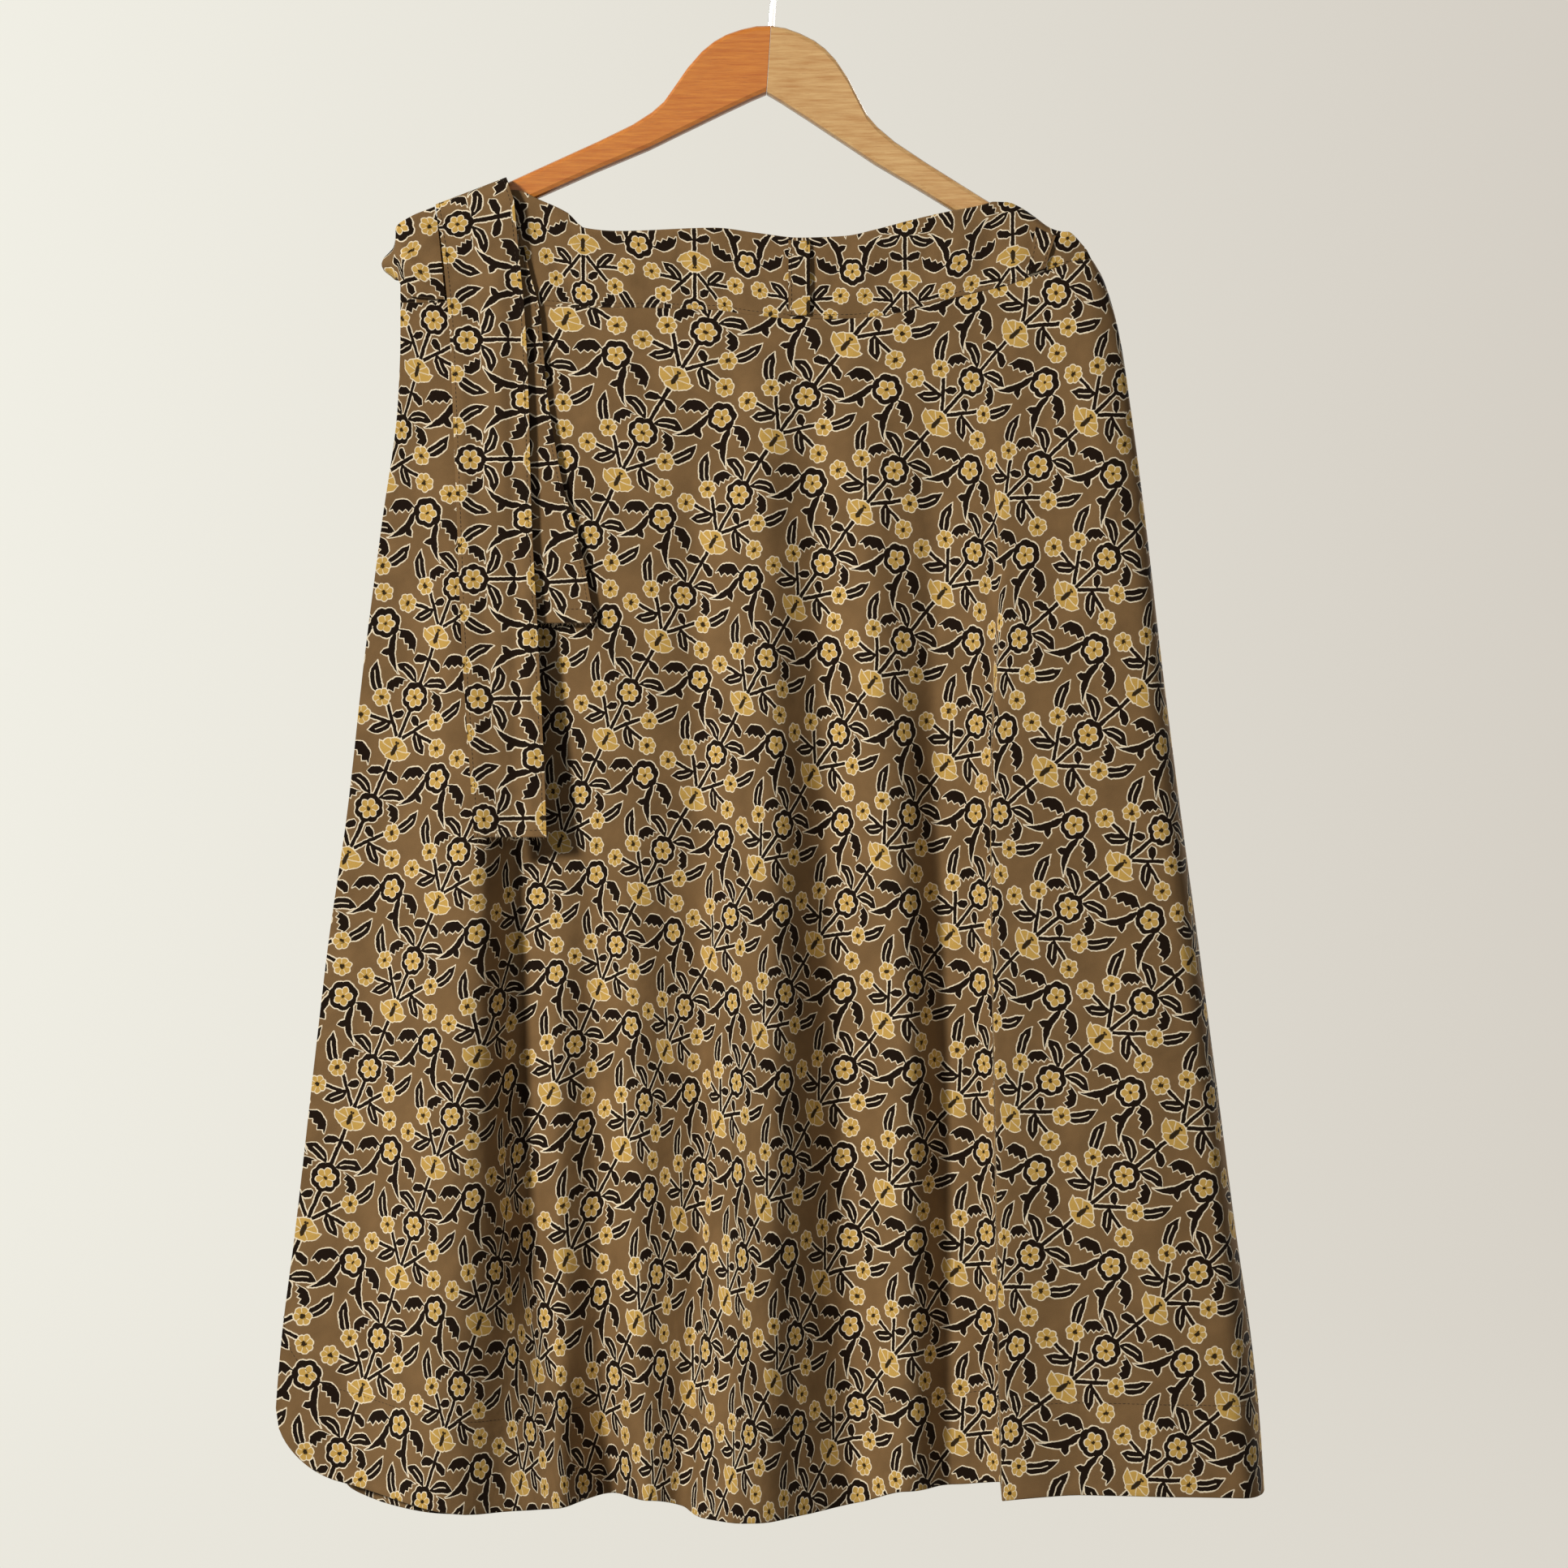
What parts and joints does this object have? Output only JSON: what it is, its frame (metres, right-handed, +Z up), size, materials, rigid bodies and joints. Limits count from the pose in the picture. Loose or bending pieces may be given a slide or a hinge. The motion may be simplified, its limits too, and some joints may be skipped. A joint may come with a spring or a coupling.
{
  "type": "wrap skirt on hanger",
  "caption": "Long cotton wrap skirt with a waistband, belt loops and waist ties, printed all over with flowers, hung flat on a plain wooden hanger with a wire hook.",
  "frame": {"origin": "the inside top of the hanger's hook, where it rests on its rail", "axes": "+X to the viewer's right across the skirt, +Y to its back, +Z up; the overlap panel faces -Y"},
  "size_m": [0.5977, 0.1247, 0.9781],
  "materials": {
    "printed_cotton": "matt printed cotton, brown with ochre, cream and black flowers",
    "band_cotton": "the same cotton, doubled for the waistband, loops and ties",
    "red_wood": "varnished red-brown wood",
    "tan_wood": "varnished light wood with its grain along the arm",
    "bright_wire": "polished steel wire"
  },
  "bodies": {
    "root": {"front_panel": "printed_cotton", "back_panel": "printed_cotton", "underlap_panel": "printed_cotton", "waistband_front": "band_cotton", "waistband_back": "band_cotton", "waistband_underlap": "band_cotton", "belt_loop_centre": "band_cotton", "belt_loop_side": "band_cotton", "tie_long": "band_cotton", "tie_short": "band_cotton", "tie_fold": "band_cotton", "hanger_arm_left": "red_wood", "hanger_arm_right": "tan_wood", "hanger_hook": "bright_wire"}
  },
  "joints": []
}
